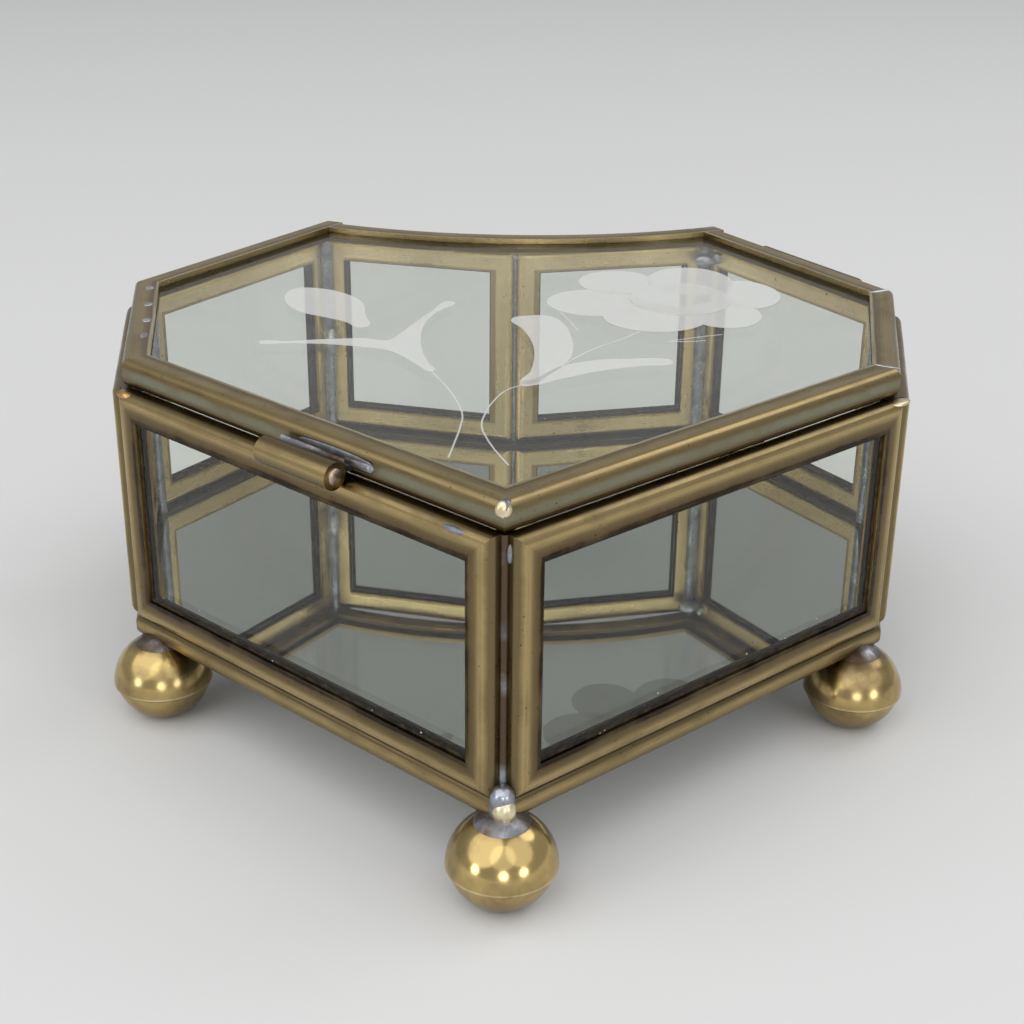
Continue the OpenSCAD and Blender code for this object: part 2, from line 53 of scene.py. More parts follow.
# inner corners of the box in plan, anticlockwise from the front point, and the name of the wall after each
corners = [(0, -0.0518), (0.0462, -0.0114), (0.0513, 0.0204), (0.0299, 0.0521), (0, 0.0452),
           (-0.0299, 0.0521), (-0.0513, 0.0204), (-0.0462, -0.0114)]
wallNames = ["front_right", "side_right", "slant_right", "back_right", "back_left", "slant_left", "side_left",
             "front_left"]
glassThick = 0.002
paneOverlap = 0.0027


def turnOf(index):
    (x0, y0), (x1, y1) = corners[index], corners[(index + 1) % 8]
    return math.atan2(y1 - y0, x1 - x0)


def paneOf(index):
    # middle of a wall's pane, the way it runs, and half the sizes of its open part
    turn = turnOf(index)
    low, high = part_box("wall_glass_" + wallNames[index])
    length = (high[0] - low[0] - glassThick * abs(math.sin(turn))) / abs(math.cos(turn))
    middle = [(a + b) / 2 for a, b in zip(low, high)]
    return middle, turn, length / 2 - paneOverlap, (high[2] - low[2]) / 2 - paneOverlap


def newTree(name):
    # an empty material with its output and a Principled shader
    material = bpy.data.materials.new(name)
    material.use_nodes = True
    tree = material.node_tree
    tree.nodes.clear()
    output = tree.nodes.new("ShaderNodeOutputMaterial")
    shader = tree.nodes.new("ShaderNodeBsdfPrincipled")
    tree.links.new(shader.outputs[0], output.inputs[0])
    return material, tree, shader, output


def joinUp(tree, source, target):
    tree.links.new(source, target)


def noiseOn(tree, coords, scale, detail=4.0, roughness=0.55, stretch=(1, 1, 1), shift=(0, 0, 0)):
    # noise over object coordinates, stretched by a Mapping node
    mapping = tree.nodes.new("ShaderNodeMapping")
    mapping.inputs["Scale"].default_value = stretch
    mapping.inputs["Location"].default_value = shift
    joinUp(tree, coords, mapping.inputs["Vector"])
    noise = tree.nodes.new("ShaderNodeTexNoise")
    noise.inputs["Scale"].default_value = scale
    noise.inputs["Detail"].default_value = detail
    noise.inputs["Roughness"].default_value = roughness
    joinUp(tree, mapping.outputs[0], noise.inputs["Vector"])
    return noise.outputs["Fac"]


def heightOf(tree, place):
    split = tree.nodes.new("ShaderNodeSeparateXYZ")
    joinUp(tree, place, split.inputs[0])
    return split.outputs["Z"]


def rangeOf(tree, value, low, high, toLow=0.0, toHigh=1.0):
    node = tree.nodes.new("ShaderNodeMapRange")
    for name, number in (("From Min", low), ("From Max", high), ("To Min", toLow), ("To Max", toHigh)):
        node.inputs[name].default_value = number
    joinUp(tree, value, node.inputs["Value"])
    return node.outputs[0]


def sumOf(tree, operation, first, second):
    node = tree.nodes.new("ShaderNodeMath")
    node.operation = operation
    for socket, value in zip(node.inputs, (first, second)):
        if isinstance(value, (int, float)):
            socket.default_value = value
        else:
            joinUp(tree, value, socket)
    return node.outputs[0]


def blendOf(tree, factor, first, second):
    # mixes two colours by a factor
    node = tree.nodes.new("ShaderNodeMix")
    node.data_type = "RGBA"
    joinUp(tree, factor, node.inputs[0])
    for socket, value in zip((node.inputs[6], node.inputs[7]), (first, second)):
        if isinstance(value, tuple):
            socket.default_value = value
        else:
            joinUp(tree, value, socket)
    return node.outputs[2]


def bumpFrom(tree, height, shader, strength, distance):
    bump = tree.nodes.new("ShaderNodeBump")
    bump.inputs["Strength"].default_value = strength
    bump.inputs["Distance"].default_value = distance
    joinUp(tree, height, bump.inputs["Height"])
    joinUp(tree, bump.outputs[0], shader.inputs["Normal"])


channelLook = {
    "gold": (0.42, 0.318, 0.148, 1), "olive": (0.185, 0.140, 0.068, 1), "brown": (0.12, 0.078, 0.038, 1),
    "darkTone": (0.030, 0.022, 0.015, 1), "pale": (0.70, 0.60, 0.38, 1), "green": (0.23, 0.225, 0.155, 1),
    "innerBright": (1.0, 0.80, 0.40, 1), "innerDark": (0.50, 0.34, 0.12, 1),
    "dull": 0.40, "bright": 0.20, "streakAlong": 45, "streakAcross": 2400, "blotches": 130, "spots": 2600,
    "waver": 0.0007, "bump": 0.10, "bumpDepth": 0.00005,
}
# colours met across a channel, as (place from 0 to 1, colour name); they paint the channel's round form as
# colour: painted highlight bands, painted shade at edges and creases, and a painted reflection on the lid's
# side
channelStops = {
    # wall: from the pane's edge, a dark lip that is partly tarnish and partly painted shade, then a painted
    # highlight band of gold, then olive
    "wall": [(0.0, "darkTone"), (0.14, "darkTone"), (0.20, "brown"), (0.42, "olive"), (0.60, "gold"),
             (0.78, "gold"), (0.94, "olive"), (1.0, "olive")],
    # inside: faces that look into the box, brighter partly as fresher brass and partly as painted light, with
    # painted shade at both edges
    "inside": [(0.0, "innerDark"), (0.07, "innerDark"), (0.15, "innerBright"), (0.72, "innerBright"), (1.0, "innerDark")],
    # lidTop: from the rim's outer edge to the glass, a painted highlight in the middle and a pale painted
    # highlight line at the glass
    "lidTop": [(0.0, "olive"), (0.30, "gold"), (0.55, "gold"), (0.86, "olive"), (0.93, "pale"),
               (1.0, "pale")],
    # lidSide: by height, a painted highlight line at the lower edge, brown, a green painted reflection,
    # olive, and a painted highlight at the top
    "lidSide": [(0.0, "gold"), (0.04, "brown"), (0.26, "brown"), (0.45, "green"), (0.60, "green"),
                (0.74, "olive"), (0.92, "gold"), (1.0, "gold")],
    # floor: by height, a painted highlight band in the middle and painted shade at the top where the walls
    # stand on it
    "floor": [(0.0, "brown"), (0.25, "olive"), (0.55, "gold"), (0.8, "olive"), (1.0, "darkTone")],
}


def vectorOf(tree, operation, first, second=None, output="Vector"):
    node = tree.nodes.new("ShaderNodeVectorMath")
    node.operation = operation
    for socket, value in zip(node.inputs, (first, second)):
        if isinstance(value, (tuple, list)):
            socket.default_value = value
        elif value is not None:
            joinUp(tree, value, socket)
    return node.outputs[output]


def joinedUp(tree, x, y, z=0.0):
    node = tree.nodes.new("ShaderNodeCombineXYZ")
    for socket, value in zip(node.inputs, (x, y, z)):
        if isinstance(value, (int, float)):
            socket.default_value = value
        else:
            joinUp(tree, value, socket)
    return node.outputs[0]


def stopsOf(tree, value, stops):
    ramp = tree.nodes.new("ShaderNodeValToRGB")
    elements = ramp.color_ramp.elements
    elements[0].position, elements[1].position = stops[0][0], stops[-1][0]
    elements[0].color, elements[1].color = channelLook[stops[0][1]], channelLook[stops[-1][1]]
    for place, colour in stops[1:-1]:
        elements.new(place).color = channelLook[colour]
    joinUp(tree, value, ramp.inputs[0])
    return ramp.outputs[0]


def lookingIn(tree, coords):
    # how much a face looks towards the middle of the box, from its place and its normal
    outward = vectorOf(tree, "NORMALIZE", vectorOf(tree, "MULTIPLY", coords.outputs["Object"], (1, 1, 0)))
    facing = vectorOf(tree, "DOT_PRODUCT", outward, coords.outputs["Normal"], "Value")
    return rangeOf(tree, facing, -0.1, -0.6)


def edgePlace(tree, coords, index):
    # how far a place is along a wall's edge and out from it
    turn = turnOf(index)
    moved = vectorOf(tree, "SUBTRACT", coords.outputs["Object"], (*corners[index], 0))
    along = vectorOf(tree, "DOT_PRODUCT", moved, (math.cos(turn), math.sin(turn), 0), "Value")
    out = vectorOf(tree, "DOT_PRODUCT", moved, (math.sin(turn), -math.cos(turn), 0), "Value")
    return along, out


def channelBrass(name, layout):
    # layout gives the way along the channel and the place across it, and what is painted there
    look = channelLook
    material, tree, shader, output = newTree(name)
    coords = tree.nodes.new("ShaderNodeTexCoord")
    place = coords.outputs["Object"]
    blotches = noiseOn(tree, place, look["blotches"], 5.0, 0.62)
    spots = noiseOn(tree, place, look["spots"], 1.0, 0.5, shift=(3, 1, 2))
    along, across, paint = layout(tree, coords)
    streaks = noiseOn(tree, joinedUp(tree, sumOf(tree, "MULTIPLY", along, look["streakAlong"]),
                                     sumOf(tree, "MULTIPLY", across, look["streakAcross"])), 1.0, 3.0, 0.55)
    waver = sumOf(tree, "MULTIPLY", sumOf(tree, "SUBTRACT", blotches, 0.5), look["waver"])
    colour, innerColour, inner = paint(sumOf(tree, "ADD", across, waver))
    mixed = sumOf(tree, "ADD", sumOf(tree, "MULTIPLY", streaks, 0.4), sumOf(tree, "MULTIPLY", blotches, 0.6))
    colour = blendOf(tree, rangeOf(tree, mixed, 0.46, 0.62, 0.0, 0.55), colour, look["olive"])
    if inner is not None:
        # the side that looks into the box gets a brighter colour, partly fresher brass and partly painted
        # light, with painted shade at its edges
        patchy = rangeOf(tree, mixed, 0.50, 0.66, 0.0, 0.4)
        innerColour = blendOf(tree, patchy, innerColour, look["innerDark"])
        colour = blendOf(tree, inner, colour, innerColour)
    tarnished = rangeOf(tree, sumOf(tree, "ADD", spots, sumOf(tree, "MULTIPLY", blotches, 0.4)), 0.95, 1.0)
    colour = blendOf(tree, tarnished, colour, look["darkTone"])
    joinUp(tree, colour, shader.inputs["Base Color"])
    joinUp(tree, rangeOf(tree, mixed, 0.35, 0.65, look["bright"], look["dull"]), shader.inputs["Roughness"])
    shader.inputs["Metallic"].default_value = 1.0
    bumpFrom(tree, mixed, shader, look["bump"], look["bumpDepth"])
    return material


def wallLayout(index):
    def layout(tree, coords):
        middle, turn, halfWide, halfHigh = paneOf(index)
        along, out = edgePlace(tree, coords, index)
        half = math.dist(corners[index], corners[(index + 1) % 8]) / 2
        height = heightOf(tree, coords.outputs["Object"])
        sideways = sumOf(tree, "SUBTRACT", along, half)
        upwards = sumOf(tree, "SUBTRACT", height, middle[2])
        pastPost = sumOf(tree, "SUBTRACT", sumOf(tree, "ABSOLUTE", sideways, 0.0), halfWide)
        pastRail = sumOf(tree, "SUBTRACT", sumOf(tree, "ABSOLUTE", upwards, 0.0), halfHigh)
        isPost = sumOf(tree, "GREATER_THAN", pastPost, pastRail)
        run = tree.nodes.new("ShaderNodeMix")
        for socket, value in zip(run.inputs, (isPost, None, along, height)):
            if value is not None:
                joinUp(tree, value, socket)

        # across the channel the wall stops give a painted highlight band and painted shade, and faces that
        # look into the box take the inside stops, partly painted light
        def paint(across):
            share = rangeOf(tree, across, 0.0, channelDeep)
            return (stopsOf(tree, share, channelStops["wall"]), stopsOf(tree, share, channelStops["inside"]),
                    lookingIn(tree, coords))
        return run.outputs[0], sumOf(tree, "MAXIMUM", pastPost, pastRail), paint
    return layout


def lidLayout(index=None):
    # a straight strip of the lid's rim by its wall's number, or the bent strip at the back
    def layout(tree, coords):
        if index is None:
            inPlan = vectorOf(tree, "MULTIPLY", coords.outputs["Object"], (1, 1, 0))
            fromMiddle = vectorOf(tree, "DISTANCE", inPlan, lidArcMiddle, "Value")
            along = coords.outputs["Object"]
            split = tree.nodes.new("ShaderNodeSeparateXYZ")
            joinUp(tree, along, split.inputs[0])
            along, across = split.outputs["X"], sumOf(tree, "SUBTRACT", fromMiddle, lidArcRadius)
        else:
            along, out = edgePlace(tree, coords, index)
            across = sumOf(tree, "SUBTRACT", lidOut, out)
        height = heightOf(tree, coords.outputs["Object"])
        normal = tree.nodes.new("ShaderNodeSeparateXYZ")
        joinUp(tree, coords.outputs["Normal"], normal.inputs[0])

        # the top flange takes the lidTop stops and the sides take the lidSide stops by height: painted
        # highlights and a painted reflection as colour
        def paint(wavering):
            top = stopsOf(tree, rangeOf(tree, wavering, 0.0, channelDeep), channelStops["lidTop"])
            waver = sumOf(tree, "MULTIPLY", sumOf(tree, "SUBTRACT", wavering, across), 0.8)
            shifted = sumOf(tree, "ADD", height, waver)
            side = stopsOf(tree, rangeOf(tree, shifted, lidBottom, lidTop), channelStops["lidSide"])
            return blendOf(tree, rangeOf(tree, normal.outputs["Z"], 0.3, 0.8), side, top), None, None
        return along, across, paint
    return layout


def plainLayout(low, high, stops):
    # painted by height between low and high with a channel's stops: a painted highlight band and painted
    # shade
    def layout(tree, coords):
        split = tree.nodes.new("ShaderNodeSeparateXYZ")
        joinUp(tree, coords.outputs["Object"], split.inputs[0])

        def paint(wavering):
            return stopsOf(tree, rangeOf(tree, wavering, low, high), channelStops[stops]), None, None
        return split.outputs["X"], split.outputs["Z"], paint
    return layout


ballLook = {
    "gold": (0.54, 0.40, 0.165, 1), "dull": (0.27, 0.20, 0.10, 1), "darkTone": (0.10, 0.07, 0.04, 1),
    # seam is the colour of the painted highlight line on the ball's seam
    "seam": (0.80, 0.69, 0.43, 1), "roughLow": 0.15, "roughHigh": 0.30, "blotches": 150, "scratches": 900,
    "bump": 0.15, "bumpDepth": 0.00005,
    # heights between which the crown is stained, where the underside's painted shade ends, and the seam's
    # painted highlight line and dark line
    "crownFrom": 0.0088, "crownTo": 0.0112, "shadeEnd": 0.0015,
    "brightUp": 0.00012, "darkDown": 0.00014, "lineEdge": 0.00016, "lineCore": 0.00008,
}


def makeBallBrass():
    look = ballLook
    material, tree, shader, output = newTree("ballBrass")
    coords = tree.nodes.new("ShaderNodeTexCoord")
    place = coords.outputs["Object"]
    blotches = noiseOn(tree, place, look["blotches"], 5.0, 0.6)
    scratches = noiseOn(tree, place, 1.0, 3.0, 0.6, (300, 300, look["scratches"] * 2))
    colour = blendOf(tree, rangeOf(tree, blotches, 0.42, 0.64), look["gold"], look["dull"])
    # the crown by the solder is stained, and the underside is darkened as painted shade
    height = heightOf(tree, place)
    uneven = sumOf(tree, "MULTIPLY", sumOf(tree, "SUBTRACT", blotches, 0.5), 1.4)
    stained = sumOf(tree, "ADD", rangeOf(tree, height, look["crownFrom"], look["crownTo"]), uneven)
    colour = blendOf(tree, rangeOf(tree, stained, 0.25, 1.0), colour, look["darkTone"])
    shaded = sumOf(tree, "ADD", rangeOf(tree, height, seamHeight, look["shadeEnd"]), uneven)
    colour = blendOf(tree, rangeOf(tree, shaded, 0.1, 1.0), colour, look["dull"])
    # a painted highlight line on the seam and a dark line just below it, where the two halves meet
    offSeam = sumOf(tree, "SUBTRACT", height, seamHeight)
    fromBright = sumOf(tree, "ABSOLUTE", sumOf(tree, "SUBTRACT", offSeam, look["brightUp"]), 0.0)
    brightLine = rangeOf(tree, fromBright, look["lineEdge"], look["lineCore"])
    fromDark = sumOf(tree, "ABSOLUTE", sumOf(tree, "ADD", offSeam, look["darkDown"]), 0.0)
    darkLine = rangeOf(tree, fromDark, look["lineEdge"], look["lineCore"])
    patchy = rangeOf(tree, blotches, 0.40, 0.60, 0.75, 0.15)
    brightLine = sumOf(tree, "MULTIPLY", brightLine, patchy)
    darkLine = sumOf(tree, "MULTIPLY", darkLine, 0.7)
    colour = blendOf(tree, darkLine, blendOf(tree, brightLine, colour, look["seam"]), look["darkTone"])
    joinUp(tree, colour, shader.inputs["Base Color"])
    roughness = rangeOf(tree, blotches, 0.35, 0.7, look["roughLow"], look["roughHigh"])
    joinUp(tree, roughness, shader.inputs["Roughness"])
    shader.inputs["Metallic"].default_value = 1.0
    bumpFrom(tree, scratches, shader, look["bump"], look["bumpDepth"])
    return material


solderLook = {
    "grey": (0.20, 0.21, 0.24, 1), "pale": (0.46, 0.49, 0.55, 1), "brown": (0.11, 0.075, 0.05, 1),
    "roughLow": 0.2, "roughHigh": 0.5, "lumps": 420, "bump": 0.5, "bumpDepth": 0.0002,
}


def makeSolder(name, brownFrom, brownTo, brownAbove=0.0):
    look = solderLook
    material, tree, shader, output = newTree(name)
    coords = tree.nodes.new("ShaderNodeTexCoord")
    place = coords.outputs["Object"]
    lumps = noiseOn(tree, place, look["lumps"], 4.0, 0.6)
    stains = noiseOn(tree, place, 170, 3.0, 0.5, shift=(7, 2, 5))
    colour = blendOf(tree, rangeOf(tree, lumps, 0.35, 0.65), look["grey"], look["pale"])
    # outside it went brown, inside it stayed grey
    clean = sumOf(tree, "MULTIPLY", lookingIn(tree, coords), 0.3)
    stained = rangeOf(tree, sumOf(tree, "SUBTRACT", stains, clean), brownFrom, brownTo)
    higher = rangeOf(tree, heightOf(tree, place), brownAbove - 0.001, brownAbove + 0.001)
    colour = blendOf(tree, sumOf(tree, "MULTIPLY", stained, higher), colour, look["brown"])
    joinUp(tree, colour, shader.inputs["Base Color"])
    roughness = rangeOf(tree, lumps, 0.3, 0.7, look["roughHigh"], look["roughLow"])
    joinUp(tree, roughness, shader.inputs["Roughness"])
    shader.inputs["Metallic"].default_value = 1.0
    bumpFrom(tree, lumps, shader, look["bump"], look["bumpDepth"])
    return material


# plain metals and crusts of the small pieces, and the dark lines round the panes, partly grime and partly
# painted shade: two colours mottled by noise
smallLook = {
    "palePewter": {"first": (0.66, 0.68, 0.74, 1), "second": (0.38, 0.39, 0.43, 1),
                   "rough": 0.33, "metal": 1.0},
    "bluePewter": {"first": (0.28, 0.30, 0.345, 1), "second": (0.20, 0.205, 0.22, 1),
                   "rough": 0.5, "metal": 1.0},
    "creamMetal": {"first": (0.84, 0.75, 0.52, 1), "second": (0.66, 0.56, 0.36, 1),
                   "rough": 0.36, "metal": 1.0},
    "pinkMetal": {"first": (0.52, 0.42, 0.35, 1), "second": (0.34, 0.27, 0.23, 1),
                  "rough": 0.35, "metal": 1.0},
    "redMetal": {"first": (0.62, 0.40, 0.18, 1), "second": (0.36, 0.20, 0.09, 1),
                 "rough": 0.28, "metal": 1.0},
    "grimeAndShade": {"first": (0.055, 0.038, 0.020, 1), "second": (0.018, 0.013, 0.008, 1),
              "rough": 0.7, "metal": 0.0},
    "crust": {"first": (0.80, 0.80, 0.76, 1), "second": (0.55, 0.54, 0.48, 1),
              "rough": 0.7, "metal": 0.0},
}


def makeSmall(name):
    look = smallLook[name]
    material, tree, shader, output = newTree(name)
    coords = tree.nodes.new("ShaderNodeTexCoord")
    mottle = noiseOn(tree, coords.outputs["Object"], 900, 3.0, 0.55)
    joinUp(tree, blendOf(tree, rangeOf(tree, mottle, 0.4, 0.6), look["first"], look["second"]),
           shader.inputs["Base Color"])
    shader.inputs["Roughness"].default_value = look["rough"]
    shader.inputs["Metallic"].default_value = look["metal"]
    shader.inputs["Specular IOR Level"].default_value = 0.2
    return material


glassLook = {"tint": (0.90, 0.92, 0.89, 1), "shade": (0.86, 0.87, 0.85, 1), "ior": 1.33, "smudge": 0.02}


def makeGlass():
    look = glassLook
    material, tree, shader, output = newTree("clearGlass")
    shader.inputs["Base Color"].default_value = look["tint"]
    shader.inputs["Transmission Weight"].default_value = 1.0
    shader.inputs["IOR"].default_value = look["ior"]
    coords = tree.nodes.new("ShaderNodeTexCoord")
    smudges = noiseOn(tree, coords.outputs["Object"], 90, 4.0, 0.6)
    joinUp(tree, rangeOf(tree, smudges, 0.45, 0.75, 0.0, look["smudge"]), shader.inputs["Roughness"])
    # lamps shine through it
    clear = tree.nodes.new("ShaderNodeBsdfTransparent")
    clear.inputs["Color"].default_value = look["shade"]
    path = tree.nodes.new("ShaderNodeLightPath")
    mix = tree.nodes.new("ShaderNodeMixShader")
    joinUp(tree, path.outputs["Is Shadow Ray"], mix.inputs[0])
    joinUp(tree, shader.outputs[0], mix.inputs[1])
    joinUp(tree, clear.outputs[0], mix.inputs[2])
    joinUp(tree, mix.outputs[0], output.inputs[0])
    return material


mirrorLook = {"silver": (0.42, 0.43, 0.41, 1), "dust": 0.04}


def makeMirror():
    material, tree, shader, output = newTree("mirrorGlass")
    shader.inputs["Base Color"].default_value = mirrorLook["silver"]
    shader.inputs["Metallic"].default_value = 1.0
    coords = tree.nodes.new("ShaderNodeTexCoord")
    dust = noiseOn(tree, coords.outputs["Object"], 120, 5.0, 0.65)
    joinUp(tree, rangeOf(tree, dust, 0.45, 0.8, 0.015, mirrorLook["dust"]), shader.inputs["Roughness"])
    return material


etchLook = {"colour": (0.82, 0.82, 0.80, 1), "alpha": 0.44}


def makeEtch():
    material, tree, shader, output = newTree("etchedFrost")
    coords = tree.nodes.new("ShaderNodeTexCoord")
    grain = noiseOn(tree, coords.outputs["Object"], 2500, 2.0, 0.6)
    pale = etchLook["colour"]
    darker = (pale[0] * 0.97, pale[1] * 0.97, pale[2] * 0.97, 1)
    joinUp(tree, blendOf(tree, rangeOf(tree, grain, 0.35, 0.65), darker, pale), shader.inputs["Base Color"])
    shader.inputs["Roughness"].default_value = 0.85
    shader.inputs["Alpha"].default_value = etchLook["alpha"]
    return material


solder = makeSolder("solder", 0.38, 0.60)
brownSolder = makeSolder("brownSolder", 0.22, 0.46, 0.0165)
finishes = {"glass": makeGlass(), "mirror": makeMirror(), "foot_shell": makeBallBrass(), "solder": solder,
            "corner_solder_front": brownSolder, "lid_rim_back": channelBrass("lidBrassBack", lidLayout()),
            # the floor's frame, thumb lift and hinge carry a painted highlight band and painted shade by
            # height
            "floor_frame": channelBrass("floorBrass", plainLayout(0.01025, wallBottom, "floor")),
            "thumb": channelBrass("thumbBrass", plainLayout(0.0434, 0.0472, "wall"))}
finishes["foot_dome"] = finishes["foot_shell"]
finishes["thumb_lift"] = finishes["hinge"] = finishes["thumb"]
etchedFrost = makeEtch()
for index, wall in enumerate(wallNames):
    finishes["wall_frame_" + wall] = channelBrass("wallBrass_" + wall, wallLayout(index))
    if "back" not in wall:
        finishes["lid_rim_" + wall] = channelBrass("lidBrass_" + wall, lidLayout(index))


def finishFor(name):
    # the longest key found in the name; solder and glass come before the part they touch
    if "solder" in name and name != "corner_solder_front":
        return finishes["solder"]
    return finishes[max((key for key in finishes if key in name), key=len)]


for name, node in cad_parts.items():
    node.data.materials.clear()
    node.data.materials.append(finishFor(name))
print("materials on the frame")


etching = {
    "thick": 0.00003, "above": 0.047405,
    # petals: centre and half sizes in millimetres
    "petals": [(11.2, 15.7, 6.6, 5.9), (14.6, 25.2, 5.4, 5.6), (25.0, 26.0, 6.0, 6.8), (32.0, 20.0, 5.0, 6.4),
               (28.3, 10.7, 5.0, 5.7), (19.0, 9.0, 6.9, 6.0), (22.9, 17.2, 6.9, 7.3)],
    "leaves": {
        "long": [(-32.2, -2.9), (-28.3, -2.3), (-23.3, -1.3), (-18.8, -0.9), (-15.8, -1.4), (-14.5, 1.3),
                 (-12.8, 5.9), (-10.9, 10.7), (-8.4, 15.2), (-10.3, 10.3), (-11.5, 5.5), (-11.7, -0.2),
                 (-11.1, -6.0), (-10.2, -9.8), (-9.6, -13.0), (-11.1, -11.3), (-13.2, -8.0), (-15.9, -5.1),
                 (-19.2, -4.1), (-23.1, -3.3), (-28.1, -3.1)],
        "right": [(1.3, -17.5), (3.6, -14.3), (6.1, -10.6), (9.8, -8.4), (13.6, -7.5), (20.2, -8.5),
                  (15.9, -10.0), (10.9, -12.0), (6.0, -15.1), (2.4, -17.5)],
        "wide": [(1.8, -17.1), (2.5, -12.2), (2.9, -6.6), (2.5, -0.8), (1.3, 4.0), (-0.1, 8.1), (2.3, 9.5),
                 (5.0, 9.2), (6.7, 6.3), (7.6, 1.0), (7.8, -4.5), (6.8, -9.4), (4.8, -13.5)],
        "upper": [(-31.2, 15.1), (-30.2, 20.3), (-27.0, 20.4), (-23.3, 18.2), (-20.6, 14.3), (-19.7, 9.0),
                  (-19.5, 3.5), (-22.1, 5.9), (-25.3, 7.9), (-28.5, 9.9)]},
    "lines": {
        "leftStem": [(-9.6, -13.0), (-7.3, -18.9), (-6.0, -23.5), (-5.3, -27.3), (-5.4, -31.3), (-5.8, -35.5),
                     (-6.3, -40.1)],
        "rightStem": [(1.6, -17.2), (-0.2, -18.9), (-1.8, -22.7), (-2.7, -26.9), (-3.0, -30.6), (-2.3, -34.5),
                      (-1.0, -38.8), (0.2, -42.0)],
        "strokeA": [(6.8, -9.4), (9.9, -4.4), (13.9, 0.0), (16.7, 3.4)],
        "strokeB": [(6.5, 10.6), (7.6, 7.2), (8.6, 3.5)],
        "strokeC": [(20.0, -0.5), (23.6, 1.2), (27.3, 2.6)],
        "strokeD": [(20.0, -0.5), (22.9, -0.4), (25.0, 0.1)]},
    "lineWidth": 0.00022,
}


def settled(piece):
    # applies a piece's place, turn and scale to its mesh
    bpy.ops.object.select_all(action="DESELECT")
    bpy.context.view_layer.objects.active = piece
    piece.select_set(True)
    bpy.ops.object.transform_apply(location=True, rotation=True, scale=True)
    piece.select_set(False)
    return piece


def joined(pieces, name):
    bpy.ops.object.select_all(action="DESELECT")
    for piece in pieces:
        piece.select_set(True)
    bpy.context.view_layer.objects.active = pieces[0]
    if len(pieces) > 1:
        bpy.ops.object.join()
    piece = bpy.context.object
    piece.name = name
    piece.data.name = name
    return settled(piece)


def petalDisc(index, x, y, halfX, halfY):
    size = etching
    height = size["above"] + size["thick"] * (0.5 + index)
    bpy.ops.mesh.primitive_cylinder_add(vertices=64, radius=1.0, depth=1.0,
                                        location=(x / 1000, y / 1000, height))
    disc = bpy.context.object
    disc.scale = (halfX / 1000, halfY / 1000, size["thick"])
    return settled(disc)


def flatOutline(name, points, width=None):
    # a leaf filled inside its outline, or a thin line along its points
    data = bpy.data.curves.new(name, "CURVE")
    data.dimensions = "2D" if width is None else "3D"
    spline = data.splines.new("BEZIER")
    spline.bezier_points.add(len(points) - 1)
    for knot, (x, y) in zip(spline.bezier_points, points):
        knot.co = (x / 1000, y / 1000, 0)
        knot.handle_left_type = knot.handle_right_type = "AUTO"
    spline.resolution_u = 5
    if width is None:
        spline.use_cyclic_u = True
        data.fill_mode = "BOTH"
        data.extrude = etching["thick"] / 2
    else:
        data.bevel_depth = width / 2
        data.bevel_resolution = 2
        data.use_fill_caps = True
    shape = bpy.data.objects.new(name, data)
    bpy.context.collection.objects.link(shape)
    shape.location.z = etching["above"] + etching["thick"]
    if width is not None:
        shape.scale.z = 0.2
    bpy.ops.object.select_all(action="DESELECT")
    bpy.context.view_layer.objects.active = shape
    shape.select_set(True)
    bpy.ops.object.convert(target="MESH")
    return settled(bpy.context.object)


flower = joined([petalDisc(i, *petal) for i, petal in enumerate(etching["petals"])], "etched_flower")
leaves = joined([flatOutline(name, points) for name, points in etching["leaves"].items()], "etched_leaves")
stems = joined([flatOutline(name, points, etching["lineWidth"]) for name, points in etching["lines"].items()],
               "etched_stems")
for piece in (flower, leaves, stems):
    piece.data.materials.clear()
    piece.data.materials.append(etchedFrost)
    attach(piece, "lid")
print("etching done")

residueAndShade = {
    "lineWidth": 0.00045, "innerLineWidth": 0.00025, "lineThick": 0.00002,
    "specks": 90, "speckSmall": 0.00006, "speckLarge": 0.00020,
}


def paneLine(index, side):
    # a dark line round the pane where it goes into the channel, partly grime and partly painted shade of the
    # shadowed slot, outside (side 1) or inside (side -1)
    middle, turn, halfWide, halfHigh = paneOf(index)
    out = side * (glassThick / 2 + residueAndShade["lineThick"])
    place = (middle[0] + math.sin(turn) * out, middle[1] - math.cos(turn) * out, middle[2])
    bpy.ops.object.select_all(action="DESELECT")
    bpy.ops.mesh.primitive_plane_add(size=2, location=place, rotation=(math.pi / 2, 0, turn))
    line = bpy.context.object
    line.scale = (halfWide, halfHigh, 1)
    settled(line)
    line.select_set(True)
    bpy.ops.object.mode_set(mode="EDIT")
    bpy.ops.mesh.select_mode(type="FACE")
    bpy.ops.mesh.select_all(action="SELECT")
    bpy.ops.mesh.inset(thickness=residueAndShade["lineWidth"] if side > 0 else residueAndShade["innerLineWidth"])
    bpy.ops.mesh.delete(type="FACE")
    bpy.ops.object.mode_set(mode="OBJECT")
    thicken = line.modifiers.new("thicken", "SOLIDIFY")
    thicken.thickness = residueAndShade["lineThick"]
    thicken.offset = 0
    bpy.ops.object.modifier_apply(modifier="thicken")
    return line


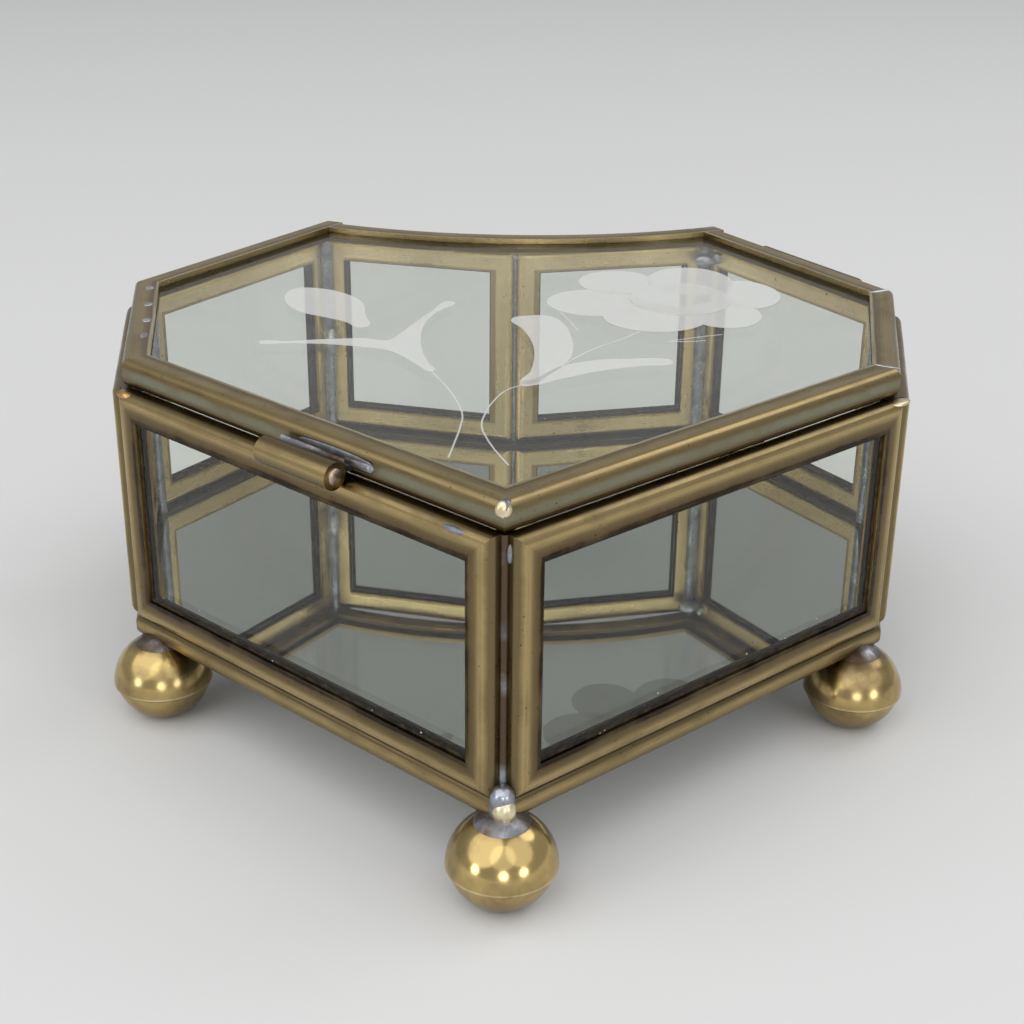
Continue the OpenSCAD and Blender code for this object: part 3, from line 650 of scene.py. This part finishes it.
def addBlob(place, radii, turn=0.0, seed=1, rough=0.06, fineness=3):
    # a drop: a ball squeezed to its radii, with a slightly uneven skin
    bpy.ops.object.select_all(action="DESELECT")
    bpy.ops.mesh.primitive_ico_sphere_add(subdivisions=fineness, radius=1.0,
                                          location=[v / 1000 for v in place], rotation=(0, 0, turn))
    blob = bpy.context.object
    bpy.ops.object.mode_set(mode="EDIT")
    bpy.ops.mesh.select_all(action="SELECT")
    bpy.ops.transform.vertex_random(offset=rough, uniform=0.0, normal=1.0, seed=seed)
    bpy.ops.mesh.vertices_smooth(factor=0.5, repeat=2)
    bpy.ops.object.mode_set(mode="OBJECT")
    blob.scale = [r / 1000 for r in radii]
    bpy.ops.object.shade_smooth()
    return settled(blob)


def addSpecks():
    # crumbs of dried flux along the lower edges of the panes and of the floor's frame
    chance = random.Random(5)
    specks = []
    for number in range(residueAndShade["specks"]):
        index = number % 8
        middle, turn, halfWide, halfHigh = paneOf(index)
        along = chance.uniform(-1, 1) * halfWide
        side = chance.choice((1, -1))
        out = side * (glassThick / 2 + 0.00004)
        up = chance.uniform(0, 1) ** 3 * 0.0014 - halfHigh
        size = chance.uniform(residueAndShade["speckSmall"], residueAndShade["speckLarge"]) * 1000
        place = (middle[0] + math.cos(turn) * along + math.sin(turn) * out,
                 middle[1] + math.sin(turn) * along - math.cos(turn) * out, middle[2] + up)
        radii = (size * 1.3, size * 0.5, size)
        specks.append(addBlob([v * 1000 for v in place], radii, turn, number, 0.25, 1))
    return joined(specks, "flux_specks")


# dark lines round the panes: partly grime and partly painted shade where the slot is shadowed
darkPaneLines = joined([paneLine(i, side) for i in range(8) for side in (1, -1)], "pane_dark_lines")
darkPaneLines.data.materials.append(makeSmall("grimeAndShade"))
specks = addSpecks()
specks.data.materials.append(makeSmall("crust"))
for piece in (darkPaneLines, specks):
    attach(piece, "box")
print("residue done")

# place, radii and turn of each drop, in millimetres and degrees
dropGroups = {
    "pale_drops": ("box", "palePewter", [
        ((29.6, 50.0, 42.3), (2.0, 1.2, 1.1), 0), ((-29.2, 50.6, 28.0), (0.8, 0.8, 2.3), 0),
        ((0.0, 44.9, 43.9), (0.5, 0.4, 0.45), 0), ((31.5, 49.4, 42.9), (0.8, 0.7, 0.9), 0)]),
    "blue_smears": ("box", "bluePewter", [
        ((-5.2, -50.8, 43.9), (1.8, 0.45, 0.42), -41), ((0.55, -53.3, 42.4), (0.4, 0.42, 1.2), 0),
        ((-14.0, -42.2, 11.2), (1.6, 0.3, 0.6), -41), ((20.0, -37.0, 11.0), (1.4, 0.3, 0.5), 41)]),
    "nose_drop": ("box", "creamMetal", [
        ((0.2, -54.4, 12.0), (1.4, 1.4, 1.9), 0), ((47.7, -13.3, 44.35), (1.7, 0.9, 0.35), 41)]),
    "corner_drop": ("box", "redMetal", [((-47.0, -13.6, 44.1), (1.6, 0.9, 0.6), -41)]),
    "lid_marks": ("lid", "palePewter", [
        ((-50.1, 17.2, 48.2), (0.6, 0.7, 0.10), 0), ((-48.8, 9.9, 48.2), (0.65, 0.75, 0.12), 0),
        ((-47.6, 3.1, 48.2), (0.6, 0.8, 0.12), 0), ((-46.7, -3.0, 48.2), (0.5, 1.0, 0.10), 0),
        ((50.9, 20.2, 48.2), (1.7, 0.28, 0.14), 25), ((46.0, -11.1, 48.2), (1.6, 0.25, 0.12), -26)]),
    "lid_back_solder": ("lid", "bluePewter", [
        ((30.3, 53.5, 46.4), (1.0, 0.75, 1.5), 34), ((-30.3, 53.5, 46.4), (1.0, 0.75, 1.5), -34)]),
    "lid_nose_drop": ("lid", "creamMetal", [((-0.15, -53.3, 47.35), (0.95, 0.7, 1.1), 0)]),
    "lid_smear": ("lid", "bluePewter", [((-18.75, -37.65, 47.0), (6.1, 0.16, 0.48), -41.2)]),
    "thumb_plug": ("lid", "pinkMetal", [((-18.45, -41.17, 45.45), (0.35, 1.02, 1.02), -41.2)]),
}
for groupName, (body, metal, places) in dropGroups.items():
    blobs = [addBlob(place, radii, math.radians(turn), seed + 3)
             for seed, (place, radii, turn) in enumerate(places)]
    piece = joined(blobs, groupName)
    piece.data.materials.append(makeSmall(metal))
    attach(piece, body)
print("drops done")


studio = {
    "floor": (0.73, 0.73, 0.725, 1), "world": (0.86, 0.87, 0.88, 1), "worldStrength": 0.5,
    # place, size in metres and power in watts; the three low ones are small and only make highlights
    "lamps": {
        "key": ((-0.50, -0.34, 0.72), 1.3, 4.4), "fill": ((0.65, -0.50, 0.82), 1.2, 2.4),
        "back": ((0.60, 0.30, 0.75), 0.6, 1.6), "front": ((0.05, -0.95, 0.90), 1.2, 1.9),
        "lowLeft": ((-0.79, -0.62, 0.16), 0.28, 1.0), "lowFront": ((0.07, -1.00, 0.16), 0.30, 1.1),
        "lowRight": ((0.68, -0.73, 0.16), 0.28, 1.0),
    },
    "cameraPlace": (0.00199, -0.21069, 0.11869), "cameraTurn": (65.547, -0.555, 0.722), "lens": 60.508,
}


def addLamp(name, place, size, power):
    bpy.ops.object.light_add(type="AREA", location=place)
    lamp = bpy.context.object
    lamp.name = name
    lamp.data.shape = "DISK"
    lamp.data.size = size
    lamp.data.energy = power
    lamp.rotation_euler = (Vector((0, 0, 0.02)) - Vector(place)).to_track_quat("-Z", "Y").to_euler()


for lampName, (lampPlace, lampSize, lampPower) in studio["lamps"].items():
    addLamp(lampName + "Lamp", lampPlace, lampSize, lampPower)

bpy.ops.mesh.primitive_plane_add(size=12)
table = bpy.context.object
table.name = "studio_floor"
paper, tree, shader, output = newTree("paleFloor")
shader.inputs["Base Color"].default_value = studio["floor"]
shader.inputs["Roughness"].default_value = 0.8
table.data.materials.append(paper)

world = bpy.data.worlds.new("studioWorld")
world.use_nodes = True
world.node_tree.nodes["Background"].inputs["Color"].default_value = studio["world"]
world.node_tree.nodes["Background"].inputs["Strength"].default_value = studio["worldStrength"]
bpy.context.scene.world = world

bpy.ops.object.camera_add(location=studio["cameraPlace"],
                          rotation=[math.radians(turn) for turn in studio["cameraTurn"]])
camera = bpy.context.object
camera.data.lens = studio["lens"]
camera.data.sensor_width = 36
camera.data.clip_start = 0.01
bpy.context.scene.camera = camera
bpy.context.scene.view_settings.view_transform = "Standard"
print("stage set")
